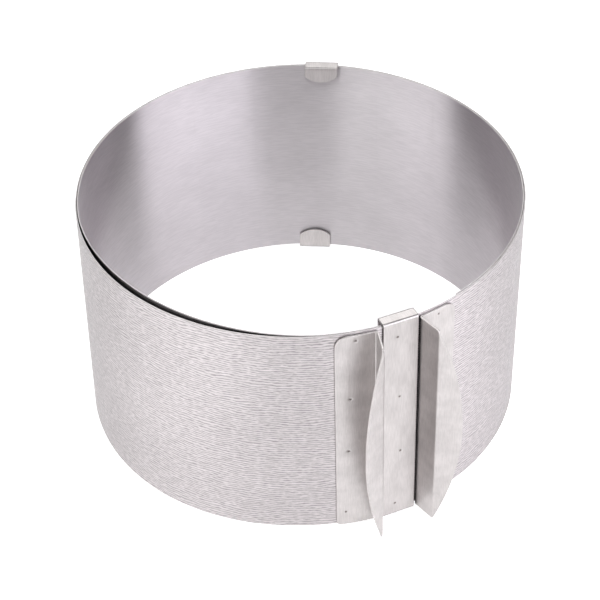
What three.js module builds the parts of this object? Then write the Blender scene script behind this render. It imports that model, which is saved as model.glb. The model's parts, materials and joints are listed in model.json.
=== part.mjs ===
import * as THREE from "three";

// Adjustable cake ring, closed to its smallest size. Millimetres and degrees, +Z up, handles towards -Y.
// Angles are counted from the front, clockwise seen from above, the way the band winds inwards.

// Band: one strip of spring steel wound nearly twice round
const BAND_HEIGHT = 85;
const BAND_THICKNESS = 0.4;
const INSIDE_DIAMETER = 152;
const LAYER_GAP = 0.15;
const END_SETBACK = 0.4;

// The strip bends all along its length, so it is cut into short lengths that turn on each other
const LENGTHS_PER_TURN = 20;
const LENGTH_COUNT = 39;
const FACET_SPAN = 4.5;
const BEND_GAP = 0.05;

// Beside the left handle the layers part: the outer one bows a little outwards, the inner one inwards
const OUTER_BOW = 0.4;
const OUTER_BOW_ANGLE = 69;
const OUTER_BOW_HALF_ANGLE = 43;
const INNER_BOW = 1.5;
const INNER_BOW_ANGLE = 420;
const INNER_BOW_HALF_ANGLE = 42;

// Guide brackets: a plate outside, folded over both rims, with round-ended tabs inside
const BRACKET_SHEET = 0.6;
const BRACKET_WIDTH = 12.2;
const BRACKET_SPACE = 3.5;
const RIM_CLEARANCE = 0.3;
const UPPER_TAB_HEIGHT = 5.8;
const LOWER_TAB_HEIGHT = 8.4;
const TAB_CROWN = 2.6;
const FRONT_BRACKET_SHIFT = 0.45;
const BACK_BRACKET_ANGLE = 208.5;
const BACK_BRACKET_LEAN = 4;
const BACK_LOWER_SPACE = 2.4;

// Handles: a plate on the band, a flange outwards and a half-moon lip for the fingers
const HANDLE_SHEET = 0.8;
const HANDLE_DROP = 0.7;
const PLATE_WIDTH = 14;
const PLATE_TOP_RADIUS = 4.2;
const PLATE_BOTTOM_RADIUS = 1.6;
const PLATE_MARGIN = 4.4;
const FLANGE_DEPTH = 9.8;
const FLANGE_LEAN = 14.5;
const LIP_WIDTH = 8.7;
const LIP_TILT = 26.5;
const FOLD_RADIUS = 0.9;
const FOLD_GAP = 1;
const WELD_GAP = 0.04;

const { degToRad: rad, radToDeg: deg } = THREE.MathUtils;

// Sizes that follow from the ones above
const LAYER_PITCH = BAND_THICKNESS + LAYER_GAP;
const START_RADIUS = INSIDE_DIAMETER / 2 + LAYER_PITCH + BAND_THICKNESS / 2;
const BAND_BASE = RIM_CLEARANCE + BRACKET_SHEET;
const FOLD_PLACE = BRACKET_WIDTH / 2 + FOLD_GAP;
const PLATE_EDGE = deg((FOLD_PLACE + PLATE_WIDTH) / START_RADIUS);
const OUTER_END = -deg((BRACKET_WIDTH / 2 - END_SETBACK) / START_RADIUS);
const FIRST_BEND = PLATE_EDGE + deg(PLATE_MARGIN / START_RADIUS);
const LENGTH_SPAN = 360 / LENGTHS_PER_TURN;

// Pace of the stations along a run of sheet: even, or closer together at its start or end
const even = (t) => t;
const slowStart = (t) => t * t;
const slowEnd = (t) => 1 - (1 - t) ** 2;

function steel(name, color) {
  return new THREE.MeshStandardMaterial({ name, color, metalness: 1, roughness: 0.4 });
}

// Share of a bow's depth at an angle of the band
function bowShare(angle, centre, halfAngle) {
  const u = (angle - centre) / halfAngle;
  return Math.max(0, 1 - u * u) ** 1.5;
}

// Radius of the band's middle surface
function bandRadius(angle) {
  const wound = START_RADIUS - (LAYER_PITCH * (angle - OUTER_END)) / 360;
  const outwards = OUTER_BOW * bowShare(angle, OUTER_BOW_ANGLE, OUTER_BOW_HALF_ANGLE);
  const inwards = INNER_BOW * bowShare(angle, INNER_BOW_ANGLE, INNER_BOW_HALF_ANGLE);
  return wound + outwards - inwards;
}

function polar(radius, angle) {
  return new THREE.Vector2(-radius * Math.sin(rad(angle)), -radius * Math.cos(rad(angle)));
}

// Angles between two bends of the band, in facets of about the same span
function facetAngles(from, to) {
  const count = Math.max(2, Math.round((to - from) / FACET_SPAN));
  return Array.from({ length: count + 1 }, (_, i) => from + ((to - from) * i) / count);
}

// One length of the band, between the bends at two angles
function bandLength(from, to) {
  const trim = deg(BEND_GAP / 2 / START_RADIUS);
  const angles = facetAngles(from + trim, to - trim);
  const outer = angles.map((a) => polar(bandRadius(a) + BAND_THICKNESS / 2, a));
  const inner = angles.map((a) => polar(bandRadius(a) - BAND_THICKNESS / 2, a));
  const outline = new THREE.Shape([...outer, ...inner.reverse()]);
  const solid = new THREE.ExtrudeGeometry(outline, { depth: BAND_HEIGHT, bevelEnabled: false });
  return solid.translate(0, 0, BAND_BASE);
}

// Stations along the middle line of a bent sheet, from runs that are straight or turn through an angle
function traceSheet(start, heading, runs) {
  const stations = [];
  let point = start;
  let facing = rad(heading);
  let along = 0;
  for (const { length, turn = 0, steps = 1, pace = even } of runs) {
    const arc = rad(turn);
    const at = (t) => {
      const across = arc ? (length / arc) * (1 - Math.cos(arc * t)) : 0;
      const ahead = arc ? (length / arc) * Math.sin(arc * t) : length * t;
      const place = new THREE.Vector2(ahead, across).rotateAround(new THREE.Vector2(), facing).add(point);
      return { place, facing: facing + arc * t, along: along + length * t };
    };
    for (let i = stations.length ? 1 : 0; i <= steps; i++) stations.push(at(pace(i / steps)));
    const end = at(1);
    point = end.place;
    facing = end.facing;
    along = end.along;
  }
  return stations;
}

// Quarter-round fold of a sheet about its middle line
function fold(turn, radius) {
  return { length: Math.abs(rad(turn)) * radius, turn, steps: 4 };
}

// Turns every triangle round if the faces point inwards
function facingOut(geometry) {
  const place = geometry.getAttribute("position");
  const [a, b, c] = [0, 0, 0].map(() => new THREE.Vector3());
  let volume = 0;
  for (let i = 0; i < place.count; i += 3) {
    a.fromBufferAttribute(place, i);
    b.fromBufferAttribute(place, i + 1);
    c.fromBufferAttribute(place, i + 2);
    volume += a.dot(b.cross(c));
  }
  if (volume > 0) return geometry;
  for (let i = 0; i < place.count; i += 3) {
    b.fromBufferAttribute(place, i + 1);
    c.fromBufferAttribute(place, i + 2);
    place.setXYZ(i + 1, c.x, c.y, c.z);
    place.setXYZ(i + 2, b.x, b.y, b.z);
  }
  return geometry;
}

// Closed sheet of one thickness through the stations: span gives its two edges, toSpace places a point
function bentSheet(stations, thickness, span, toSpace) {
  const total = stations.at(-1).along;
  const rings = stations.map(({ place, facing, along }) => {
    const side = new THREE.Vector2(-Math.sin(facing), Math.cos(facing)).multiplyScalar(thickness / 2);
    const [low, high] = span(along, total);
    const left = place.clone().add(side);
    const right = place.clone().sub(side);
    return [toSpace(left, low), toSpace(left, high), toSpace(right, high), toSpace(right, low)];
  });
  const points = [];
  const quad = (a, b, c, d) => points.push(a, b, c, a, c, d);
  for (let i = 1; i < rings.length; i++) {
    for (let j = 0; j < 4; j++) {
      const k = (j + 1) % 4;
      quad(rings[i - 1][j], rings[i - 1][k], rings[i][k], rings[i][j]);
    }
  }
  quad(...rings[0].toReversed());
  quad(...rings.at(-1));
  return facingOut(new THREE.BufferGeometry().setFromPoints(points));
}

// How far the end of a round corner has dropped at a distance from the sheet's edge
function cornerDrop(distance, radius) {
  if (distance >= radius) return 0;
  return radius - Math.sqrt(radius ** 2 - (radius - distance) ** 2);
}

// Handle on the band near the front, at an angle's turn of the winding; side is 1 for the left hand
function handle(side, turns) {
  const middle = deg((FOLD_PLACE + PLATE_WIDTH / 2) / START_RADIUS);
  const seat = bandRadius(turns * 360 + side * middle) + (BAND_THICKNESS + HANDLE_SHEET) / 2 + WELD_GAP;
  const plateTurn = deg((PLATE_WIDTH - FOLD_RADIUS - HANDLE_SHEET / 2) / START_RADIUS);
  const flangeHeading = -90 - FLANGE_LEAN;
  const lipHeading = LIP_TILT - 180;
  const lipFold = fold(lipHeading - flangeHeading, FOLD_RADIUS);
  const cornerTurn = deg(PLATE_TOP_RADIUS / START_RADIUS);
  const arc = (turn, steps, pace) => ({ length: rad(turn) * seat, turn, steps, pace });
  const runs = [
    arc(cornerTurn, 8, slowStart),
    arc(plateTurn - cornerTurn, 3),
    fold(flangeHeading + PLATE_EDGE - plateTurn, FOLD_RADIUS),
    { length: FLANGE_DEPTH - 2 * FOLD_RADIUS },
    lipFold,
    { length: LIP_WIDTH - lipFold.length, steps: 14, pace: slowEnd },
  ];
  const stations = traceSheet(polar(seat, PLATE_EDGE), -PLATE_EDGE, runs);
  const height = BAND_HEIGHT - HANDLE_DROP;
  const tip = 0.03;
  const span = (along, total) => {
    const lipShare = Math.max(0, 1 - (total - along) / LIP_WIDTH);
    const half = (height / 2) * Math.max(tip, Math.sqrt(1 - lipShare));
    const low = Math.max(height / 2 - half, cornerDrop(along, PLATE_BOTTOM_RADIUS));
    const high = Math.min(height / 2 + half, height - cornerDrop(along, PLATE_TOP_RADIUS));
    return [BAND_BASE + low, BAND_BASE + high];
  };
  const toSpace = (place, z) => new THREE.Vector3(side * place.x, place.y, z);
  return bentSheet(stations, HANDLE_SHEET, span, toSpace);
}

// Guide bracket welded on the outer layer at an angle, moved to one side there or leaning over its height
function guideBracket({ angle, shift = 0, lean = 0, lowerSpace = BRACKET_SPACE }) {
  const plateFace = bandRadius(angle) + BAND_THICKNESS / 2 + WELD_GAP;
  const foldRadius = RIM_CLEARANCE + BRACKET_SHEET / 2;
  const strip = (space) => ({ length: space - 2 * RIM_CLEARANCE });
  const tabSide = (height) => ({ length: height - TAB_CROWN - RIM_CLEARANCE });
  const start = new THREE.Vector2(plateFace - BRACKET_SPACE - BRACKET_SHEET / 2,
    BAND_BASE + BAND_HEIGHT + RIM_CLEARANCE - UPPER_TAB_HEIGHT);
  const runs = [
    { length: TAB_CROWN, steps: 8, pace: slowStart },
    tabSide(UPPER_TAB_HEIGHT),
    fold(-90, foldRadius),
    strip(BRACKET_SPACE),
    fold(-90, foldRadius),
    { length: BAND_HEIGHT },
    fold(-90, foldRadius),
    strip(lowerSpace),
    fold(-90, foldRadius),
    tabSide(LOWER_TAB_HEIGHT),
    { length: TAB_CROWN, steps: 8, pace: slowEnd },
  ];
  const half = BRACKET_WIDTH / 2;
  const crownRadius = (half ** 2 + TAB_CROWN ** 2) / (2 * TAB_CROWN);
  const leastHalf = half / 40;
  const span = (along, total) => {
    const fromTip = Math.min(along, total - along, TAB_CROWN);
    const reach = Math.sqrt(crownRadius ** 2 - (crownRadius - fromTip) ** 2);
    return [-Math.max(leastHalf, reach), Math.max(leastHalf, reach)];
  };
  const outwards = polar(1, angle);
  const onwards = new THREE.Vector2(outwards.y, -outwards.x);
  const middle = BAND_BASE + BAND_HEIGHT / 2;
  const toSpace = (place, across) => {
    const aside = across + shift + (lean * (place.y - middle)) / BAND_HEIGHT;
    const plan = outwards.clone().multiplyScalar(place.x).addScaledVector(onwards, aside);
    return new THREE.Vector3(plan.x, plan.y, place.y);
  };
  return bentSheet(traceSheet(start, 90, runs), BRACKET_SHEET, span, toSpace);
}

// Bends of the band from its outer end to its inner end
const bends = [OUTER_END, ...Array.from({ length: LENGTH_COUNT }, (_, i) => FIRST_BEND + i * LENGTH_SPAN)];

const ring = new THREE.Group();
ring.name = "adjustable_cake_ring";

function add(name, geometry, material) {
  const mesh = new THREE.Mesh(geometry, material);
  mesh.name = name;
  ring.add(mesh);
  return mesh;
}

for (let i = 1; i < bends.length; i++) {
  const piece = add(
    `band_${String(i).padStart(2, "0")}`,
    bandLength(bends[i - 1], bends[i]),
    steel("brushed_band", 0xcfcccb),
  );
  piece.userData.bend = polar(bandRadius(bends[i]) + BAND_THICKNESS / 2, bends[i]);
}
const frontBracket = guideBracket({ angle: 0, shift: -FRONT_BRACKET_SHIFT });
const backBracket = guideBracket({
  angle: BACK_BRACKET_ANGLE,
  lean: BACK_BRACKET_LEAN,
  lowerSpace: BACK_LOWER_SPACE,
});
add("front_guide_bracket", frontBracket, steel("satin_sheet", 0xd6d3d1));
add("back_guide_bracket", backBracket, steel("satin_sheet", 0xd6d3d1));
add("left_handle", handle(1, 0), steel("satin_sheet", 0xd6d3d1));
add("right_handle", handle(-1, 1), steel("satin_sheet", 0xd6d3d1));

// The origin is the middle of the closed ring's footprint, on the surface it stands on
const box = new THREE.Box3().setFromObject(ring);
const footprint = box.getCenter(new THREE.Vector3()).setZ(box.min.z).negate();
for (const mesh of ring.children) {
  mesh.geometry.translate(footprint.x, footprint.y, footprint.z);
  if (mesh.userData.bend) mesh.userData.bend.add(footprint);
}

export default ring;
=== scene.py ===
import json
import math

import bmesh
import bpy
from mathutils import Matrix, Vector

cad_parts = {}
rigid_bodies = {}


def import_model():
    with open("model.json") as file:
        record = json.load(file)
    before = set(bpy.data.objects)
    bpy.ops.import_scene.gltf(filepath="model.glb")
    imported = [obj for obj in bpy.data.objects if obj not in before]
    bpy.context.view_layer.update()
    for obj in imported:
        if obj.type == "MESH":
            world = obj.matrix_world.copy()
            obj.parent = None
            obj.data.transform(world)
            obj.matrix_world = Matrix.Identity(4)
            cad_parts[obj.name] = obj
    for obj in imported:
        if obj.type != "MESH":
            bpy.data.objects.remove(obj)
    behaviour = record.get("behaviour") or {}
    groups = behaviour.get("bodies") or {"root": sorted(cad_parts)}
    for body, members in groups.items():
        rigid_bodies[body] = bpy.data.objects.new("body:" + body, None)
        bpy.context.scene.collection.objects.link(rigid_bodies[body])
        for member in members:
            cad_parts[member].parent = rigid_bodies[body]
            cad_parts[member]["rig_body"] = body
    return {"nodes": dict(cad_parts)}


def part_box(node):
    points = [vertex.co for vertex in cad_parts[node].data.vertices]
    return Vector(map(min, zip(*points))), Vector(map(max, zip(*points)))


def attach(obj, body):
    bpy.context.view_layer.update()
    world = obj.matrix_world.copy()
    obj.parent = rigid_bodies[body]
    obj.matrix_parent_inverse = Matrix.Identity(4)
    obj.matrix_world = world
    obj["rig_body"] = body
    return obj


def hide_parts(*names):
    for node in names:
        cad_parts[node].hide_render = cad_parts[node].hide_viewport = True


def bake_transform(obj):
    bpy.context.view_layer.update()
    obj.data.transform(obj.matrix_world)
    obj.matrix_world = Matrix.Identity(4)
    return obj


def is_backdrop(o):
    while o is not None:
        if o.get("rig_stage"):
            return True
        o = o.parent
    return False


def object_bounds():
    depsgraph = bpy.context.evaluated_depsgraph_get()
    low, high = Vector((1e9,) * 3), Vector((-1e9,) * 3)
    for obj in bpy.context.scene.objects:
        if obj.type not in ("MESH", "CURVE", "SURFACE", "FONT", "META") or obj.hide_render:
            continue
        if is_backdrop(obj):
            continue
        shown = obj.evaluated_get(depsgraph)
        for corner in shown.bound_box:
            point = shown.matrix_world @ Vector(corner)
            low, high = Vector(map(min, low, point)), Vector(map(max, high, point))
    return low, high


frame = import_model()
cad_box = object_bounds()

# Lengths are in millimetres and angles in degrees, unless a heading says otherwise
MM = 0.001

# Band: one strip wound inwards nearly twice, clockwise seen from above, angles from the front
BAND_HEIGHT = 85
BAND_THICKNESS = 0.4
INSIDE_DIAMETER = 152
LAYER_GAP = 0.15
END_SETBACK = 0.4
LENGTH_SPAN = 18
LENGTH_COUNT = 39

# Where the band bows out, bows in or leans: how far, at which angle and over which half angle
OUTER_BOW, OUTER_BOW_ANGLE, OUTER_BOW_HALF_ANGLE = 0.4, 69, 43
INNER_BOW, INNER_BOW_ANGLE, INNER_BOW_HALF_ANGLE = 1.5, 420, 42
SIDE_LEAN, SIDE_LEAN_ANGLE, SIDE_LEAN_HALF_ANGLE = 1.1, 85, 66
BOW_POWER = 1.5

# Distance from a bend, along the band, to the two points about it that turn_at works out
TURN_REACH = 32.8

# Guide brackets, folded round both rims
BRACKET_SHEET = 0.6
BRACKET_WIDTH = 12.2
BRACKET_SPACE = 3.5
RIM_CLEARANCE = 0.3
UPPER_TAB_HEIGHT = 5.8
LOWER_TAB_HEIGHT = 8.4
TAB_CROWN = 2.6
FRONT_BRACKET_SHIFT = 0.45
FRONT_UPPER_SPACE = 3.4
BACK_BRACKET_ANGLE = 208.5
BACK_BRACKET_LEAN = 4
BACK_LOWER_SPACE = 1.6

# Handles: plate, flange and half-moon lip
HANDLE_SHEET = 0.8
HANDLE_DROP = 0.7
PLATE_WIDTH = 14
PLATE_TOP_RADIUS = 4.2
PLATE_BOTTOM_RADIUS = 1.6
PLATE_MARGIN = 4.4
FLANGE_DEPTH = 9.8
FLANGE_LEAN = 14.5
LIP_WIDTH = 8.7
LIP_TILT = 26.5
FOLD_RADIUS = 0.9
FOLD_GAP = 1
WELD_GAP = 0.04

# Spot welds: dents of one size, as angle from the front and height on the band
WELD_RADIUS = 0.95
WELD_DEPTH = 0.2
WELD_SPECK = 0.42
PLATE_WELDS = [(10.8, 82.2), (12.1, 57.8), (12.6, 34.6), (13.5, 6.1)]
BRACKET_WELDS = [(-0.8, 79.5), (0, 53.7), (0.5, 28.9), (-0.8, 4.4)]

# Rounding of the sheets' edges, and the most of a half thickness that it takes
RIM_RADIUS = 0.12
SHEET_RADIUS = 0.2
ROUNDING_LIMIT = 0.9

# Shares of the greatest half width that are left at the tip of a lip and of a tab
LIP_TIP = 0.03
TAB_TIP = 0.025

# Columns of the band's mesh, in degrees
COLUMN_SPAN = 0.75
SEAM_COLUMN = 0.04

# Fineness of the other meshes
CORNER_STEPS = 3
FOLD_STEPS = 10
CURVE_STEPS = 12
LIP_STEPS = 28
WELD_STEPS = 4
SUPPORT = 0.3
WELD_GRID = 0.2
WELD_GRID_START = 0.5
WELD_ROW_MARGIN = 0.005

# Steel: values of the noise at which its grain is darkest, plain and lightest, and where most values lie
GRAIN_DARK, GRAIN_PLAIN, GRAIN_LIGHT = 0.36, 0.5, 0.64
NOISE_LOW, NOISE_HIGH = 0.3, 0.7
GRAIN_DETAIL, CLOUD_DETAIL = 1, 2
GRAIN_DISTORTION = 0.5
HAIR_FINENESS = 4
HAIR_LENGTH = 2
CLOUD_STRETCH = 1.6

# Wavy brush lines: one wave per spacing, how it wanders and breaks up, and where it is dark and light
ONE_WAVE = math.tau / 20
WAVE_DISTORTION = 8
WAVE_DETAIL, WAVE_DETAIL_SCALE = 2, 0.55
BREAK_LOW, BREAK_HIGH = -0.3, 0.5
LINE_DARK, LINE_LIGHT = 0.1, 0.7

# Painted shade where steel stands close to steel, as grey levels by how open the place is
CREVICE_SHADE_REACH = 2
PAINTED_SHADE_SAMPLES = 8
PAINTED_SHADE_LEVELS = [(0.2, 0.02), (0.45, 0.45), (0.65, 1)]

# On the band the painted shade lies only in the mouth of the gap between the layers, which it darkens
MOUTH_SHADE_REACH = 4
MOUTH_DEPTH = 4
MOUTH_HALF_ANGLE = 50
MOUTH_FADE = 0.85

# Photograph's camera, about the ring's axis
IMAGE_SIZE = 600
FOCAL_PIXELS = 1727.9
SENSOR_WIDTH = 36
CAMERA_AZIMUTH = -22.53
CAMERA_ELEVATION = 40.46
CAMERA_ROLL = -1.79
CAMERA_DISTANCE = 619.8
CAMERA_CLIP = 10
TARGET_SIDE = -0.90
TARGET_HEIGHT = 35.43

# Floor, its size in metres and the glow that keeps it white to the camera
FLOOR_SIZE = 8
FLOOR_GREY = 0.75
FLOOR_ROUGHNESS = 0.9
FLOOR_GLOW = 0.75

# Soft surroundings: grey levels by the sine of the elevation
WORLD_LEVELS = [(0, 0.35), (0.06, 0.3), (0.2, 0.12), (1, 0.08)]

# Height above the middle of the floor that the softboxes face
SOFTBOX_AIM = 40

# Softboxes: azimuth from the camera's side, elevation, distance and size in metres, power, colour
WHITE = (1, 1, 1)
LAVENDER_WHITE = (0.965, 0.94, 1)
SOFTBOXES = {
    "softbox_left": (-54.4, 30, 1.3, (1.42, 0.9), 9.8, WHITE),
    "softbox_right": (55.8, 30, 1.3, (1.5, 0.9), 14.6, LAVENDER_WHITE),
    "softbox_front": (0, 62, 1.4, (0.8, 0.6), 3, WHITE),
    "softbox_back": (180, 50, 1.4, (1.0, 0.8), 6.2, WHITE),
}

# Sizes that follow from the ones above
LAYER_PITCH = BAND_THICKNESS + LAYER_GAP
START_RADIUS = INSIDE_DIAMETER / 2 + LAYER_PITCH + BAND_THICKNESS / 2
BAND_BASE = RIM_CLEARANCE + BRACKET_SHEET
BAND_TOP = BAND_BASE + BAND_HEIGHT
BAND_MIDDLE = BAND_BASE + BAND_HEIGHT / 2
HANDLE_HEIGHT = BAND_HEIGHT - HANDLE_DROP
FOLD_PLACE = BRACKET_WIDTH / 2 + FOLD_GAP
PLATE_EDGE = math.degrees((FOLD_PLACE + PLATE_WIDTH) / START_RADIUS)
OUTER_END = -math.degrees((BRACKET_WIDTH / 2 - END_SETBACK) / START_RADIUS)
FIRST_BEND = PLATE_EDGE + math.degrees(PLATE_MARGIN / START_RADIUS)
BENDS = [OUTER_END] + [FIRST_BEND + LENGTH_SPAN * i for i in range(LENGTH_COUNT)]
CROWN_RADIUS = ((BRACKET_WIDTH / 2) ** 2 + TAB_CROWN**2) / (2 * TAB_CROWN)
WELD_PLACES = [WELD_RADIUS * k / WELD_STEPS for k in range(-WELD_STEPS, WELD_STEPS + 1)]


def sin(angle):
    return math.sin(math.radians(angle))


def cos(angle):
    return math.cos(math.radians(angle))


def bow_share(angle, centre, half_angle):
    return max(0, 1 - ((angle - centre) / half_angle) ** 2) ** BOW_POWER


def band_radius(angle):
    """Radius of the band's middle surface."""
    wound = START_RADIUS - LAYER_PITCH * (angle - OUTER_END) / 360
    outwards = OUTER_BOW * bow_share(angle, OUTER_BOW_ANGLE, OUTER_BOW_HALF_ANGLE)
    inwards = INNER_BOW * bow_share(angle, INNER_BOW_ANGLE, INNER_BOW_HALF_ANGLE)
    return wound + outwards - inwards


def polar(radius, angle):
    return Vector((-radius * sin(angle), -radius * cos(angle)))


# The ring's axis, from where the front bracket's plate stands in the frame
bracket_low, bracket_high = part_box("front_guide_bracket")
PLATE_OUTSIDE = band_radius(0) + BAND_THICKNESS / 2 + WELD_GAP + BRACKET_SHEET
bracket_middle = (bracket_low.x + bracket_high.x) / 2
AXIS = Vector((bracket_middle - FRONT_BRACKET_SHIFT * MM, bracket_low.y + PLATE_OUTSIDE * MM, 0))


def in_frame(flat, height):
    """Point in the frame, from one about the ring's axis."""
    return AXIS + Vector((flat.x, flat.y, height)) * MM


def leaning(flat, height):
    """Point of the band, whose left side leans in at the top and out at the floor."""
    angle = math.degrees(math.atan2(-flat.x, -flat.y))
    share = bow_share(angle, SIDE_LEAN_ANGLE, SIDE_LEAN_HALF_ANGLE)
    out = SIDE_LEAN * share * (1 - 2 * (height - BAND_BASE) / BAND_HEIGHT)
    return in_frame(flat + flat.normalized() * out, height)


def body_of(name):
    return frame["nodes"][name]["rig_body"]


def add_object(name, data):
    made = bpy.data.objects.new(name, data)
    bpy.context.scene.collection.objects.link(made)
    return made


# Sheet metal


def step_along(station, length, turn, share):
    """Station at a share of a run that goes on from a station, with a length and a turn."""
    point, facing, along = station
    arc = math.radians(turn)
    ahead = length / arc * math.sin(arc * share) if arc else length * share
    across = length / arc * (1 - math.cos(arc * share)) if arc else 0.0
    step = Vector((ahead, across))
    step.rotate(Matrix.Rotation(facing, 2))
    return point + step, facing + arc * share, along + length * share


def trace(start, heading, runs):
    """Stations (place, facing, along) down the middle line of a bent sheet. A run has a length, a turn
    and the shares of its length that get a station."""
    corner = (start, math.radians(heading), 0.0)
    stations = [corner]
    for length, turn, shares in runs:
        stations += [step_along(corner, length, turn, share) for share in shares]
        corner = step_along(corner, length, turn, 1.0)
    return stations


def even(steps):
    return [i / steps for i in range(1, steps + 1)]


def propped(length, *shares):
    """Shares of a straight run, with a support close to each end."""
    return sorted([SUPPORT / length, *shares, 1 - SUPPORT / length, 1.0])


def fold(turn, radius):
    return math.radians(abs(turn)) * radius, turn, even(FOLD_STEPS)


def edge_steps(radius):
    """Distances from a sheet's edge at which its rounding is followed."""
    return [radius * (1 - cos(90 * share)) for share in even(CORNER_STEPS)]


def corner_drop(distance, radius):
    """How far a round corner has dropped at a distance from the sheet's edge."""
    if distance >= radius:
        return 0.0
    return radius - math.sqrt(radius**2 - (radius - distance) ** 2)


def section(half, low, high, radius, rows):
    """Points round a sheet's section, as (offset, width): left face up, rim, right face down, rim."""
    radius = min(radius, ROUNDING_LIMIT * half)
    clear = high - low - 2 * radius
    left = [(half, low + radius + clear * share) for share in rows]
    right = [(-half, width) for _, width in reversed(left)]
    turns = [90 * share for share in even(CORNER_STEPS)]
    bend = [(half - radius + radius * cos(t), radius * sin(t)) for t in turns]
    rim = bend + [(-offset, rise) for offset, rise in reversed(bend)]
    top = [(offset, high - radius + rise) for offset, rise in rim]
    bottom = [(-offset, low + radius - rise) for offset, rise in rim]
    return left + top + right + bottom


def mark_grain(face, grain, marks):
    for loop, mark in zip(face.loops, marks):
        loop[grain].uv = mark


def loft(name, rings, marks, zones, materials):
    """Closed skin through rings of points, with a grain map from the marks and a material by zone."""
    count = len(rings[0])
    bm = bmesh.new()
    grain = bm.loops.layers.uv.new("grain")
    skin = [[bm.verts.new(point) for point in ring] for ring in rings]
    for i in range(len(rings) - 1):
        for j in range(count):
            k = (j + 1) % count
            face = bm.faces.new((skin[i][j], skin[i][k], skin[i + 1][k], skin[i + 1][j]))
            face.smooth = True
            face.material_index = zones(i, j)
            mark_grain(face, grain, (marks[i][j], marks[i][k], marks[i + 1][k], marks[i + 1][j]))
    for end in (0, -1):
        face = bm.faces.new(skin[end])
        face.material_index = zones(0, count - 1)
        mark_grain(face, grain, marks[end])
    bmesh.ops.recalc_face_normals(bm, faces=bm.faces)
    mesh = bpy.data.meshes.new(name)
    bm.to_mesh(mesh)
    bm.free()
    for material in materials:
        mesh.materials.append(material)
    return add_object(name, mesh)


def dented(outline, along, dents):
    """Outline of a section with the dents pressed in, and its points that are dark specks."""
    pressed, dark = [], []
    for j, (offset, width) in enumerate(outline):
        depth, speck = dents(offset, width, along)
        pressed.append((offset - math.copysign(depth, offset), width))
        if speck:
            dark.append(j)
    return pressed, dark


def sheet(name, stations, thickness, radius, span, rows, place, materials, round_ends, dents=None):
    """Bent sheet with rounded edges. span gives its two edges at a station, rows the shares across it,
    and dents how deep a point of its show face lies and whether it is a dark speck. The materials are
    those of the sheet and its specks or, without dents, of the left face, the right face and the rims."""
    first, total = stations[0][2], stations[-1][2]
    rings, marks = [], []
    specks = set()
    for i, (point, facing, along) in enumerate(stations):
        from_start = along - first if round_ends[0] else radius
        from_end = total - along if round_ends[1] else radius
        inset = corner_drop(min(from_start, from_end), radius)
        low, high = span(along, total)
        side = Vector((-math.sin(facing), math.cos(facing)))
        outline = section(thickness / 2 - inset, low + inset, high - inset, radius, rows)
        if dents:
            outline, dark = dented(outline, along, dents)
            specks.update((i, j) for j in dark)
        rings.append([place(point + side * offset, width) for offset, width in outline])
        marks.append([(width * MM, along * MM) for _, width in outline])
    rim = [2] * (2 * CORNER_STEPS + 1)
    faces = len(rows) - 1
    around = [0] * faces + rim + [1] * faces + rim

    def zones(i, j):
        return int((i, j) in specks) if dents else around[j]

    return loft(name, rings, marks, zones, materials)


# Materials


def fill(tree, made, inputs):
    """Give a node its inputs, by name or number: another node's output is linked and a value is set."""
    for key, value in inputs.items():
        if isinstance(value, bpy.types.NodeSocket):
            tree.links.new(value, made.inputs[key])
        else:
            made.inputs[key].default_value = value


def node(tree, kind, inputs=None, **settings):
    made = tree.nodes.new(kind)
    for key, value in settings.items():
        setattr(made, key, value)
    fill(tree, made, inputs or {})
    return made


def new_material(name):
    material = bpy.data.materials.new(name)
    material.use_nodes = True
    tree = material.node_tree
    return material, tree, tree.nodes["Principled BSDF"]


def math_node(tree, operation, *values):
    return node(tree, "ShaderNodeMath", dict(enumerate(values)), operation=operation).outputs[0]


def between(tree, value, start, end, low=0, high=1):
    """low up to a start, high from an end, and even in between."""
    values = {"Value": value, "From Min": start, "From Max": end, "To Min": low, "To Max": high}
    return node(tree, "ShaderNodeMapRange", values).outputs["Result"]


def multiply(tree, first, second):
    values = {"Factor": 1, "A": first, "B": second}
    return node(tree, "ShaderNodeMix", values, data_type="RGBA", blend_type="MULTIPLY").outputs["Result"]


def ramp(tree, factor, *stops):
    """Colours at places along a factor."""
    made = node(tree, "ShaderNodeValToRGB", {"Fac": factor})
    elements = made.color_ramp.elements
    while len(elements) < len(stops):
        elements.new(0.5)
    for element, (place, colour) in zip(elements, stops):
        element.position = place
        element.color = (*colour, 1)
    return made.outputs["Color"]


def grey_ramp(tree, factor, *stops):
    return ramp(tree, factor, *[(place, (level, level, level)) for place, level in stops])


def grain_map(tree):
    """Places on a sheet, across and along it."""
    return node(tree, "ShaderNodeUVMap", uv_map="grain").outputs["UV"]


def scaled_map(tree, across, along):
    """Places on a sheet, counted in sizes across and along it."""
    scale = (1 / (across * MM), 1 / (along * MM), 1)
    return node(tree, "ShaderNodeMapping", {"Vector": grain_map(tree), "Scale": scale}).outputs["Vector"]


def streaks(tree, across, along, detail, distortion=0.0):
    """Noise drawn out along the sheet, with its sizes across and along the grain."""
    values = {
        "Vector": scaled_map(tree, across, along),
        "Scale": 1,
        "Detail": detail,
        "Distortion": distortion,
    }
    return node(tree, "ShaderNodeTexNoise", values, noise_dimensions="2D").outputs["Fac"]


def grained(tree, lines, colour, contrast):
    """A colour that is darker and lighter along the lines of the grain."""
    return ramp(
        tree,
        lines,
        (GRAIN_DARK, [c * (1 - contrast) for c in colour]),
        (GRAIN_PLAIN, colour),
        (GRAIN_LIGHT, [min(1, c * (1 + contrast)) for c in colour]),
    )


def clouds(tree, size, contrast):
    """Soft grey clouds, a little longer than wide."""
    noise = streaks(tree, size, size * CLOUD_STRETCH, CLOUD_DETAIL)
    return grey_ramp(tree, noise, (NOISE_LOW, 1 - contrast), (NOISE_HIGH, 1))


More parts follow.
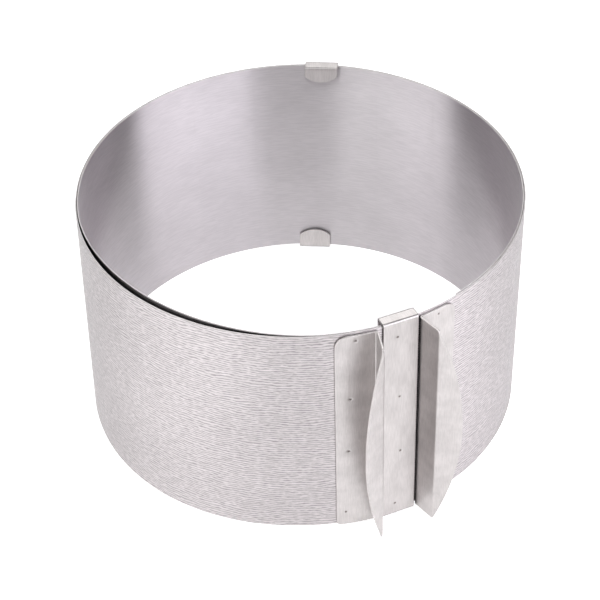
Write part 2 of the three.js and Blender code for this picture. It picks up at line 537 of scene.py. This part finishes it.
def brush_lines(tree, spacing, along, depth):
    """Wavy dark lines down the sheet at an even spacing, breaking up over a length."""
    values = {
        "Vector": scaled_map(tree, spacing, along),
        "Scale": ONE_WAVE,
        "Distortion": WAVE_DISTORTION,
        "Detail": WAVE_DETAIL,
        "Detail Scale": WAVE_DETAIL_SCALE,
    }
    wave = node(tree, "ShaderNodeTexWave", values, bands_direction="X").outputs["Fac"]
    noise = streaks(tree, spacing / 2, 2 * spacing, CLOUD_DETAIL)
    breaks = between(tree, noise, NOISE_LOW, NOISE_HIGH, BREAK_LOW, BREAK_HIGH)
    broken = math_node(tree, "ADD", wave, breaks)
    return grey_ramp(tree, broken, (LINE_DARK, 1 - depth), (LINE_LIGHT, 1))


def gap_mouth(tree, bow_angle):
    """Mask of the painted shade on the band: 1 in the mouth of the gap between the layers, along the bow
    at an angle, and 0 elsewhere.
    """
    split = node(tree, "ShaderNodeSeparateXYZ", {"Vector": grain_map(tree)})
    start, end = BAND_TOP - MOUTH_DEPTH, BAND_TOP - MOUTH_DEPTH / 2
    upper = between(tree, split.outputs["X"], start * MM, end * MM)
    middle = math.radians(bow_angle - OUTER_END) * START_RADIUS * MM
    half = math.radians(MOUTH_HALF_ANGLE) * START_RADIUS * MM
    away = math_node(tree, "ABSOLUTE", math_node(tree, "SUBTRACT", split.outputs["Y"], middle))
    return math_node(tree, "MULTIPLY", upper, between(tree, away, half, half * MOUTH_FADE))


def painted_crevice_shade(tree, reach, bow_angle):
    """Painted shade, darker where other steel stands within a reach, on the band only in the mouth of the
    gap.
    """
    # Painted shade: ambient occlusion darkens the base colour where steel stands close
    near = node(tree, "ShaderNodeAmbientOcclusion", {"Distance": reach * MM}, samples=PAINTED_SHADE_SAMPLES)
    painted_shade = grey_ramp(tree, near.outputs["AO"], *PAINTED_SHADE_LEVELS)
    if bow_angle is None:
        return painted_shade
    values = {"Factor": gap_mouth(tree, bow_angle), "A": (*WHITE, 1), "B": painted_shade}
    return node(tree, "ShaderNodeMix", values, data_type="RGBA").outputs["Result"]


def steel(name, colour, grain, cloud, rough, bump, anisotropy, reach=0, bow_angle=None, brushed=None):
    """Brushed or satin steel. grain is (across, along, contrast), cloud (size, contrast), rough a range,
    reach that of the painted shade in crevices, bow_angle where a band's gap has its mouth, to which
    the painted shade on the band is kept, and brushed the (spacing, length, depth) of wavy lines."""
    material, tree, shader = new_material(name)
    across, along, contrast = grain
    lines = streaks(tree, across, along, GRAIN_DETAIL, GRAIN_DISTORTION)
    hairs = streaks(tree, across / HAIR_FINENESS, along * HAIR_LENGTH, GRAIN_DETAIL)
    shade = multiply(tree, grained(tree, lines, colour, contrast), clouds(tree, *cloud))
    if reach:
        # Painted shade in crevices, multiplied into the base colour
        shade = multiply(tree, shade, painted_crevice_shade(tree, reach, bow_angle))
    if brushed:
        shade = multiply(tree, shade, brush_lines(tree, *brushed))
    relief = node(tree, "ShaderNodeBump", {"Strength": 1, "Distance": bump * MM, "Height": lines})
    tangent = node(tree, "ShaderNodeTangent", direction_type="UV_MAP", uv_map="grain")
    values = {
        "Base Color": shade,
        "Metallic": 1,
        "Roughness": between(tree, hairs, NOISE_LOW, NOISE_HIGH, *rough),
        "Anisotropic": anisotropy,
        "Normal": relief.outputs["Normal"],
        "Tangent": tangent.outputs["Tangent"],
    }
    fill(tree, shader, values)
    return material


SATIN = {
    "colour": (0.58, 0.552, 0.545),
    "cloud": (6, 0.12),
    "rough": (0.36, 0.46),
    "bump": 0.003,
    "anisotropy": 0.2,
    # Reach of the painted shade in the satin steel's crevices
    "reach": CREVICE_SHADE_REACH,
}
outside = steel(
    "band_outside",
    colour=(0.643, 0.606, 0.614),
    grain=(0.25, 5, 0.10),
    cloud=(30, 0.05),
    rough=(0.40, 0.50),
    bump=0.006,
    anisotropy=0.8,
    # Painted shade darkens the mouth of the gap between the layers
    reach=MOUTH_SHADE_REACH,
    bow_angle=INNER_BOW_ANGLE,
    brushed=(0.95, 1.8, 0.42),
)
inside = steel(
    "band_inside",
    colour=(0.70, 0.668, 0.688),
    grain=(0.5, 6, 0.035),
    cloud=(12, 0.05),
    rough=(0.39, 0.45),
    bump=0.001,
    anisotropy=1.0,
    # Painted shade darkens the mouth of the gap between the layers
    reach=MOUTH_SHADE_REACH,
    bow_angle=OUTER_BOW_ANGLE,
)
rim_steel = steel(
    "band_rim",
    colour=(0.62, 0.595, 0.595),
    grain=(0.4, 3, 0.05),
    cloud=(20, 0.04),
    rough=(0.34, 0.44),
    bump=0.002,
    anisotropy=0.0,
)
handle_steel = steel("satin_handle", grain=(4, 0.35, 0.045), **SATIN)
bracket_steel = steel("satin_bracket", grain=(0.35, 4, 0.045), **SATIN)
weld = steel(
    "weld_speck",
    colour=(0.26, 0.23, 0.22),
    grain=(0.5, 0.5, 0.2),
    cloud=(2, 0.2),
    rough=(0.5, 0.7),
    bump=0.01,
    anisotropy=0.0,
)


# Band: pieces from the middle of one length to the middle of the next, across the bend between


def band_angles(start, end, at_start, at_end):
    """Angles of a piece's columns: even, with close ones at its seams and round a free end."""
    steps = max(2, round((end - start) / COLUMN_SPAN))
    angles = [start + (end - start) * i / steps for i in range(steps + 1)]
    angles += [start + SEAM_COLUMN, end - SEAM_COLUMN]
    rounding = [math.degrees(distance / START_RADIUS) for distance in edge_steps(RIM_RADIUS)]
    if at_start:
        angles += [start + step for step in rounding]
    if at_end:
        angles += [end - step for step in rounding]
    return sorted(angles)


def band_station(angle):
    along = math.radians(angle - OUTER_END) * START_RADIUS
    return polar(band_radius(angle), angle), math.radians(180 - angle), along


def band_span(along, total):
    return BAND_BASE, BAND_TOP


def band_piece(name, start, end, at_start=False, at_end=False):
    stations = [band_station(angle) for angle in band_angles(start, end, at_start, at_end)]
    rows = [0, *propped(BAND_HEIGHT, 0.5)]
    steels = (outside, inside, rim_steel)
    ends = (at_start, at_end)
    piece = sheet(name, stations, BAND_THICKNESS, RIM_RADIUS, band_span, rows, leaning, steels, ends)
    return piece


def on_band(angle):
    return in_frame(polar(band_radius(angle), angle), BAND_MIDDLE)


def turn_at(piece, bend, before, after):
    """Bake a piece's place into its mesh. It does not turn at the bend: the points a reach either side are
    worked out and not used, and before and after, the bodies either side, are not used.
    """
    ahead = on_band(bend + LENGTH_SPAN / 2) - on_band(bend - LENGTH_SPAN / 2)
    reach = ahead.normalized() * TURN_REACH * MM
    on_band(bend) - reach
    on_band(bend) + reach
    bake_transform(piece)


def build_band():
    middles = [(a + b) / 2 for a, b in zip(BENDS, BENDS[1:])]
    names = [f"band_{i:02d}" for i in range(1, LENGTH_COUNT + 1)]
    bodies = [body_of(name) for name in names]
    first = band_piece("strip_outer_end", BENDS[0], middles[0], at_start=True)
    turn_at(first, BENDS[1], bodies[0], bodies[1])
    for i in range(LENGTH_COUNT - 1):
        piece = band_piece(f"strip_{i + 1:02d}", middles[i], middles[i + 1])
        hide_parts(names[i])
        turn_at(piece, BENDS[i + 1], bodies[i], bodies[i + 1])
    last = band_piece("strip_inner_end", middles[-1], BENDS[-1], at_end=True)
    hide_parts(names[-1])
    turn_at(last, BENDS[-2], bodies[-2], bodies[-1])


# Fittings


def dent_field(show_side, spots):
    """Depth of the welds at a point of the show face, and whether it is in a weld's dark middle."""

    def dents(offset, width, along):
        if offset * show_side <= 0:
            return 0.0, False
        for x, y in spots:
            q = math.hypot(along - x, width - y) / WELD_RADIUS
            if q < 1:
                return WELD_DEPTH * (1 - q * q) ** 2, q < WELD_SPECK
        return 0.0, False

    return dents


def weld_rows(total, base, places):
    """Shares of a width, with close ones about each weld."""
    shares = [(place - base + reach) / total for place in places for reach in WELD_PLACES]
    inner = [share for share in shares if WELD_ROW_MARGIN < share < 1 - WELD_ROW_MARGIN]
    return sorted({0.0, *propped(total, *inner)})


def plate_places(length):
    """Stations along a handle's plate: close at its edge and round corners, then even for the welds."""
    corner = [PLATE_TOP_RADIUS * share**2 for share in even(CURVE_STEPS)]
    grid = [WELD_GRID * i for i in range(1, int(length / WELD_GRID))]
    grid = [place for place in grid if place > WELD_GRID_START]
    return sorted({*edge_steps(SHEET_RADIUS), *corner, *grid, length})


def handle_runs(seat):
    """Plate, flange and lip of a handle with the folds between them, from the plate's free edge."""
    plate_turn = math.degrees((PLATE_WIDTH - FOLD_RADIUS - HANDLE_SHEET / 2) / START_RADIUS)
    plate = math.radians(plate_turn) * seat
    flange_heading = -90 - FLANGE_LEAN
    flange = FLANGE_DEPTH - 2 * FOLD_RADIUS
    lip_heading = LIP_TILT - 180
    lip_fold = fold(lip_heading - flange_heading, FOLD_RADIUS)
    lip = LIP_WIDTH - lip_fold[0]
    lip_shares = [1 - (1 - share) ** 2 for share in even(LIP_STEPS)]
    lip_shares += [1 - distance / lip for distance in edge_steps(SHEET_RADIUS)]
    return [
        (plate, plate_turn, [place / plate for place in plate_places(plate)]),
        fold(flange_heading + PLATE_EDGE - plate_turn, FOLD_RADIUS),
        (flange, 0, propped(flange)),
        lip_fold,
        (lip, 0, sorted(lip_shares)),
    ]


def handle_span(along, total):
    """Lower and upper edge of a handle: round corners on the plate and a half-moon on the lip."""
    share = max(0, 1 - (total - along) / LIP_WIDTH)
    half = HANDLE_HEIGHT / 2 * max(LIP_TIP, math.sqrt(1 - share))
    low = max(HANDLE_HEIGHT / 2 - half, corner_drop(along, PLATE_BOTTOM_RADIUS))
    high = min(HANDLE_HEIGHT / 2 + half, HANDLE_HEIGHT - corner_drop(along, PLATE_TOP_RADIUS))
    return BAND_BASE + low, BAND_BASE + high


def build_handle(name, side, turns):
    """Handle on the left (side 1) or the right (side -1) of the front, on the layer so many turns in."""
    middle = math.degrees((FOLD_PLACE + PLATE_WIDTH / 2) / START_RADIUS)
    layer = band_radius(turns * 360 + side * middle)
    seat = layer + (BAND_THICKNESS + HANDLE_SHEET) / 2 + WELD_GAP
    stations = trace(polar(seat, PLATE_EDGE), -PLATE_EDGE, handle_runs(seat))
    spots = [(math.radians(PLATE_EDGE - a) * seat, BAND_BASE + z) for a, z in PLATE_WELDS]
    rows = weld_rows(HANDLE_HEIGHT, BAND_BASE, [z for _, z in spots])
    steels = (handle_steel, weld)
    dents = dent_field(-1, spots)

    def place(flat, height):
        return in_frame(Vector((side * flat.x, flat.y)), height)

    return sheet(
        name, stations, HANDLE_SHEET, SHEET_RADIUS, handle_span, rows, place, steels, (True, True), dents
    )


def bracket_runs(upper_space, lower_space):
    """A bracket's tab and strip before its plate, the plate, and the strip and tab after it."""
    strip, lower_strip = [space - 2 * RIM_CLEARANCE for space in (upper_space, lower_space)]
    tab, lower_tab = [tall - TAB_CROWN - RIM_CLEARANCE for tall in (UPPER_TAB_HEIGHT, LOWER_TAB_HEIGHT)]
    tip = [distance / TAB_CROWN for distance in edge_steps(SHEET_RADIUS)]
    crown = sorted({*tip, *[share**2 for share in even(CURVE_STEPS)]})
    welds = [1 - (z + reach) / BAND_HEIGHT for _, z in BRACKET_WELDS for reach in WELD_PLACES]
    corner = fold(-90, RIM_CLEARANCE + BRACKET_SHEET / 2)
    to_plate = [
        (TAB_CROWN, 0, crown),
        (tab, 0, propped(tab)[1:]),
        corner,
        (strip, 0, propped(strip)),
        corner,
    ]
    from_plate = [
        corner,
        (lower_strip, 0, propped(lower_strip)),
        corner,
        (lower_tab, 0, propped(lower_tab)),
        (TAB_CROWN, 0, sorted([1 - share for share in crown[:-1]] + [1.0])),
    ]
    return to_plate, (BAND_HEIGHT, 0, propped(BAND_HEIGHT, *welds)), from_plate


def bracket_span(along, total):
    """The two edges of a bracket, with a round crown at each tip."""
    from_tip = min(along, total - along, TAB_CROWN)
    reach = math.sqrt(CROWN_RADIUS**2 - (CROWN_RADIUS - from_tip) ** 2)
    half = max(TAB_TIP * BRACKET_WIDTH / 2, reach)
    return -half, half


def build_bracket(name, angle, shift=0, lean=0, upper_space=BRACKET_SPACE, lower_space=BRACKET_SPACE):
    plate_face = band_radius(angle) + BAND_THICKNESS / 2 + WELD_GAP
    tab_face = plate_face - upper_space - BRACKET_SHEET / 2
    to_plate, plate, from_plate = bracket_runs(upper_space, lower_space)
    start = Vector((tab_face, BAND_TOP + RIM_CLEARANCE - UPPER_TAB_HEIGHT))
    stations = trace(start, 90, [*to_plate, plate, *from_plate])
    plate_end = sum(length for length, _, _ in to_plate) + BAND_HEIGHT
    spots = [(plate_end - z, math.radians(-a) * plate_face) for a, z in BRACKET_WELDS]
    rows = weld_rows(BRACKET_WIDTH, -BRACKET_WIDTH / 2, [x for _, x in spots])
    out = polar(1, angle)
    onward = Vector((out.y, -out.x))
    steels = (bracket_steel, weld)
    dents = dent_field(1, spots)

    def place(flat, across):
        aside = across + shift + lean * (flat.y - BAND_MIDDLE) / BAND_HEIGHT
        return in_frame(out * flat.x + onward * aside, flat.y)

    return sheet(
        name, stations, BRACKET_SHEET, SHEET_RADIUS, bracket_span, rows, place, steels, (True, True), dents
    )


def build_fittings():
    front = {"shift": -FRONT_BRACKET_SHIFT, "upper_space": FRONT_UPPER_SPACE}
    back = {"lean": BACK_BRACKET_LEAN, "lower_space": BACK_LOWER_SPACE}
    made = {
        "left_handle": build_handle("handle_left", 1, 0),
        "right_handle": build_handle("handle_right", -1, 1),
        "front_guide_bracket": build_bracket("bracket_front", 0, **front),
        "back_guide_bracket": build_bracket("bracket_back", BACK_BRACKET_ANGLE, **back),
    }
    for name, piece in made.items():
        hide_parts(name)
        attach(piece, body_of(name))


# Studio


def build_camera():
    data = bpy.data.cameras.new("camera")
    data.sensor_width = SENSOR_WIDTH
    data.lens = FOCAL_PIXELS * SENSOR_WIDTH / IMAGE_SIZE
    data.clip_start = CAMERA_CLIP * MM
    right = Vector((cos(CAMERA_AZIMUTH), sin(CAMERA_AZIMUTH), 0))
    front = Vector((sin(CAMERA_AZIMUTH), -cos(CAMERA_AZIMUTH), 0))
    back = front * cos(CAMERA_ELEVATION) + Vector((0, 0, sin(CAMERA_ELEVATION)))
    up = back.cross(right)
    across = right * cos(CAMERA_ROLL) + up * sin(CAMERA_ROLL)
    above = up * cos(CAMERA_ROLL) - right * sin(CAMERA_ROLL)
    target = right * TARGET_SIDE + Vector((0, 0, TARGET_HEIGHT))
    turn = Matrix((across, above, back)).transposed().to_4x4()
    camera = add_object("camera", data)
    camera.matrix_world = Matrix.Translation(AXIS + (target + back * CAMERA_DISTANCE) * MM) @ turn
    bpy.context.scene.camera = camera


def build_world():
    world = bpy.data.worlds.new("studio")
    bpy.context.scene.world = world
    world.use_nodes = True
    tree = world.node_tree
    direction = node(tree, "ShaderNodeTexCoord").outputs["Generated"]
    split = node(tree, "ShaderNodeSeparateXYZ", {"Vector": direction})
    shade = grey_ramp(tree, split.outputs["Z"], *WORLD_LEVELS)
    fill(tree, tree.nodes["Background"], {"Color": shade})


def seen_white(tree):
    """1 for rays from the camera and for mirrored or passed-through ones."""
    path = node(tree, "ShaderNodeLightPath")
    total = path.outputs["Is Camera Ray"]
    for name in ("Is Glossy Ray", "Is Transmission Ray"):
        total = math_node(tree, "MAXIMUM", total, path.outputs[name])
    return total


def build_floor():
    half = FLOOR_SIZE / 2
    corners = [(-half, -half, 0), (half, -half, 0), (half, half, 0), (-half, half, 0)]
    mesh = bpy.data.meshes.new("floor")
    mesh.from_pydata(corners, [], [(0, 1, 2, 3)])
    floor = add_object("floor", mesh)
    material, tree, shader = new_material("floor_white")
    values = {
        "Base Color": (FLOOR_GREY, FLOOR_GREY, FLOOR_GREY, 1),
        "Roughness": FLOOR_ROUGHNESS,
        "Emission Color": (*WHITE, 1),
        "Emission Strength": math_node(tree, "MULTIPLY", seen_white(tree), FLOOR_GLOW),
    }
    fill(tree, shader, values)
    mesh.materials.append(material)
    floor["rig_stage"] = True


def toward(azimuth, elevation, distance):
    """Place seen from the ring at an azimuth from the camera's side, in metres."""
    a = CAMERA_AZIMUTH + azimuth
    return Vector((sin(a) * cos(elevation), -cos(a) * cos(elevation), sin(elevation))) * distance


def build_softbox(name, azimuth, elevation, distance, size, power, colour):
    data = bpy.data.lights.new(name, "AREA")
    data.shape = "RECTANGLE"
    data.size, data.size_y = size
    data.energy = power
    data.color = colour
    light = add_object(name, data)
    light.location = toward(azimuth, elevation, distance)
    aim = Vector((0, 0, SOFTBOX_AIM * MM))
    light.rotation_mode = "QUATERNION"
    light.rotation_quaternion = (aim - light.location).to_track_quat("-Z", "Y")


build_camera()
build_band()
build_fittings()
build_world()
build_floor()
for name, settings in SOFTBOXES.items():
    build_softbox(name, *settings)
bpy.context.scene.view_settings.view_transform = "Standard"

boxes = {"cad": cad_box, "visual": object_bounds()}
{name: [list(corner) for corner in box] for name, box in boxes.items()}
